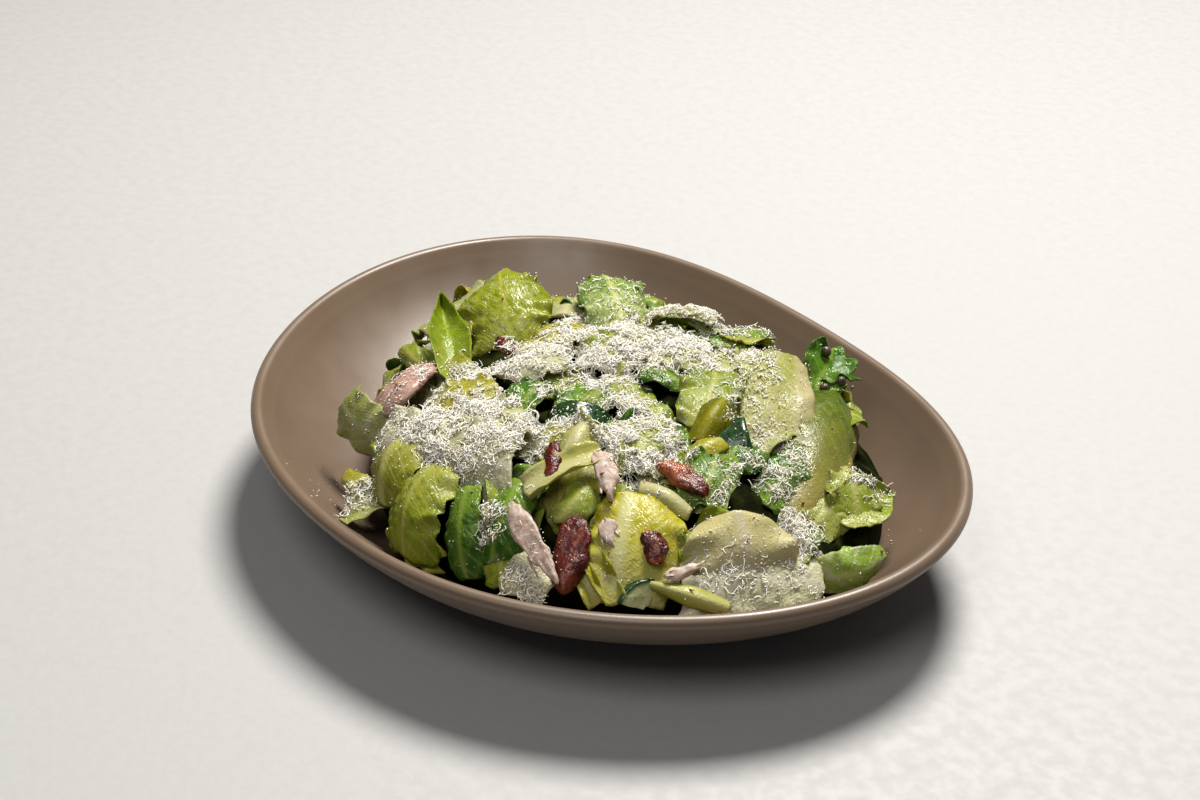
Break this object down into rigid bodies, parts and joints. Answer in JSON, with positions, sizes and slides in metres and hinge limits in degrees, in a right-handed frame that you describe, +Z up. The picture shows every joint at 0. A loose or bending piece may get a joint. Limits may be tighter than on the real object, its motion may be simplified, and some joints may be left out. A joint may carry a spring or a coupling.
{
  "type": "caesar salad in a bowl",
  "caption": "Caesar salad of torn romaine with bacon, chicken, cucumber and grated hard cheese, heaped in a shallow egg-shaped stoneware bowl.",
  "frame": {"origin": "on the surface that the bowl stands on, under the middle of the box round the rim", "axes": "+Z up; X along the bowl's long axis; +Y towards the bowl's flatter side"},
  "size_m": [0.2816, 0.218, 0.0673],
  "materials": {
    "bowl_glaze": "satin taupe glaze on stoneware",
    "leaves": "dressed romaine leaves, damp, from cream ribs to dark green",
    "bacon": "fried, dark red-brown with glossy fat",
    "chicken": "pulled, pinkish beige and fibrous",
    "ham": "soft pink slice, lightly dressed",
    "cucumber": "dark green skin over pale wet flesh",
    "tomato": "red skin, wet",
    "cheese": "finely grated hard cheese in curly shreds",
    "dressing": "thin creamy dressing, wet"
  },
  "bodies": {
    "root": {"bowl": "bowl_glaze", "salad_heap": "leaves", "bacon_1": "bacon", "bacon_2": "bacon", "bacon_3": "bacon", "bacon_4": "bacon", "bacon_5": "bacon", "chicken_1": "chicken", "chicken_2": "chicken", "chicken_3": "chicken", "chicken_4": "chicken", "ham": "ham", "cucumber_1": "cucumber", "cucumber_2": "cucumber", "cucumber_3": "cucumber", "tomato_1": "tomato"}
  },
  "joints": []
}
